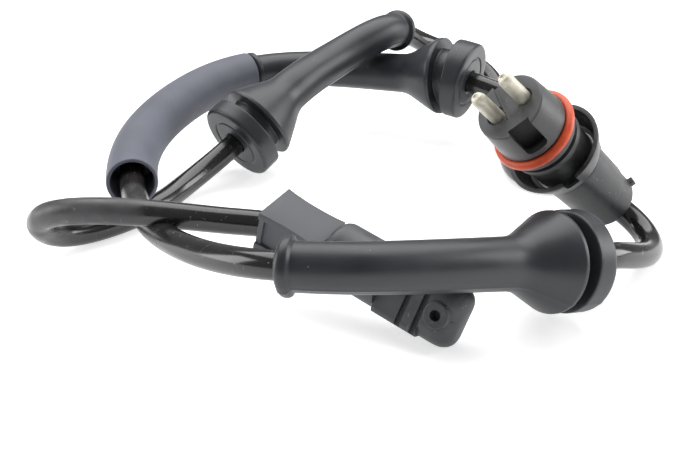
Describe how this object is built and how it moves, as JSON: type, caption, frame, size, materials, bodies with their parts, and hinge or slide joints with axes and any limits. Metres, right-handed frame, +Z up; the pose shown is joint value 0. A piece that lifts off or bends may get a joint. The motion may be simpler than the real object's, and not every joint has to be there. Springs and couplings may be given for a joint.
{
  "type": "abs wheel speed sensor",
  "caption": "Vehicle wheel speed sensor: moulded head on a jacketed lead laid in a loose loop, with rubber grommets, a bracket clip, a protective sleeve and a round sealed plug.",
  "frame": {"origin": "on the floor, under the middle of the sensor head's bounding box", "axes": "+Z up from the floor that the sensor lies on, +X to the right across the laid-out lead and along the head's longest extent, +Y away from the head to the back of the loop"},
  "size_m": [0.1277, 0.1442, 0.0427],
  "materials": {
    "housing_plastic": "fine moulded grey plastic",
    "carrier_plastic": "natural moulded plastic",
    "cell_black": "moulded black package",
    "magnet": "dull sintered grey",
    "lead_metal": "bare copper alloy strip",
    "core_red": "thin wire insulation",
    "core_black": "thin wire insulation",
    "clip_rubber": "matt moulded rubber",
    "cable_jacket": "glossy extruded jacket",
    "grommet_rubber": "satin moulded rubber",
    "sleeve_rubber": "matt extruded rubber",
    "connector_plastic": "glass filled moulded plastic",
    "seal_red": "satin silicone",
    "pin_metal": "tinned contact pin",
    "seal_blue": "satin silicone"
  },
  "bodies": {
    "root": {"sensor_housing": "housing_plastic", "element_carrier": "carrier_plastic", "hall_element": "cell_black", "bias_magnet": "magnet", "signal_lead_1": "lead_metal", "signal_lead_2": "lead_metal", "head_core_1": "core_red", "head_core_2": "core_black", "bracket_clip": "clip_rubber", "cable": "cable_jacket", "grommet_1": "grommet_rubber", "grommet_2": "grommet_rubber", "grommet_3": "grommet_rubber", "protective_sleeve": "sleeve_rubber", "connector_body": "connector_plastic", "o_ring": "seal_red", "contact_pin_1": "pin_metal", "contact_pin_2": "pin_metal", "connector_core_1": "core_red", "connector_core_2": "core_black", "pin_retainer": "carrier_plastic", "coupling_collar": "connector_plastic", "rear_shell": "connector_plastic", "cable_seal": "seal_blue"}
  },
  "joints": []
}
